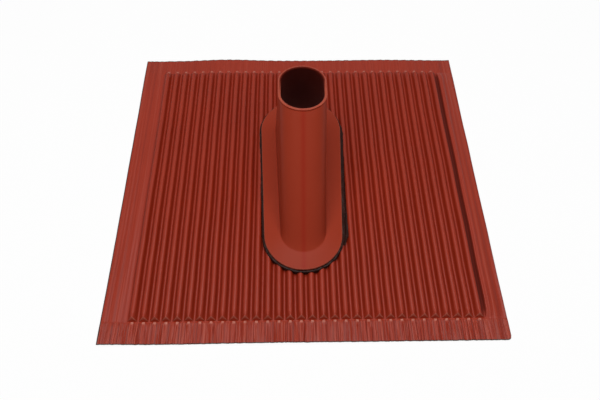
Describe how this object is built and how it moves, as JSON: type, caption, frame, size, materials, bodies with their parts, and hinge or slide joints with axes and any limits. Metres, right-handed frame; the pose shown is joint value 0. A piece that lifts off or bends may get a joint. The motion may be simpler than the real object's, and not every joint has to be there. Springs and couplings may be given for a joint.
{
  "type": "antenna mast roof flashing tile",
  "caption": "Pleated metal flashing sheet with crushed hems and a tapered oval plastic collar, bedded on black sealant, that lets an antenna mast pass through a sloping roof.",
  "frame": {"origin": "middle of the sheet's underside, on the plane it lies on", "axes": "+X to the right across the pleats, +Y up the roof slope along the pleats, +Z out of the roof"},
  "size_m": [0.45, 0.43, 0.1253],
  "materials": {
    "coated_sheet": "brick-red coating with a soft satin sheen",
    "black_sealant": "glossy black sealing compound",
    "collar_plastic": "brick-red moulded plastic, fine satin"
  },
  "bodies": {
    "root": {"pleated_sheet": "coated_sheet", "sealing_strip": "black_sealant", "mast_collar": "collar_plastic"}
  },
  "joints": []
}
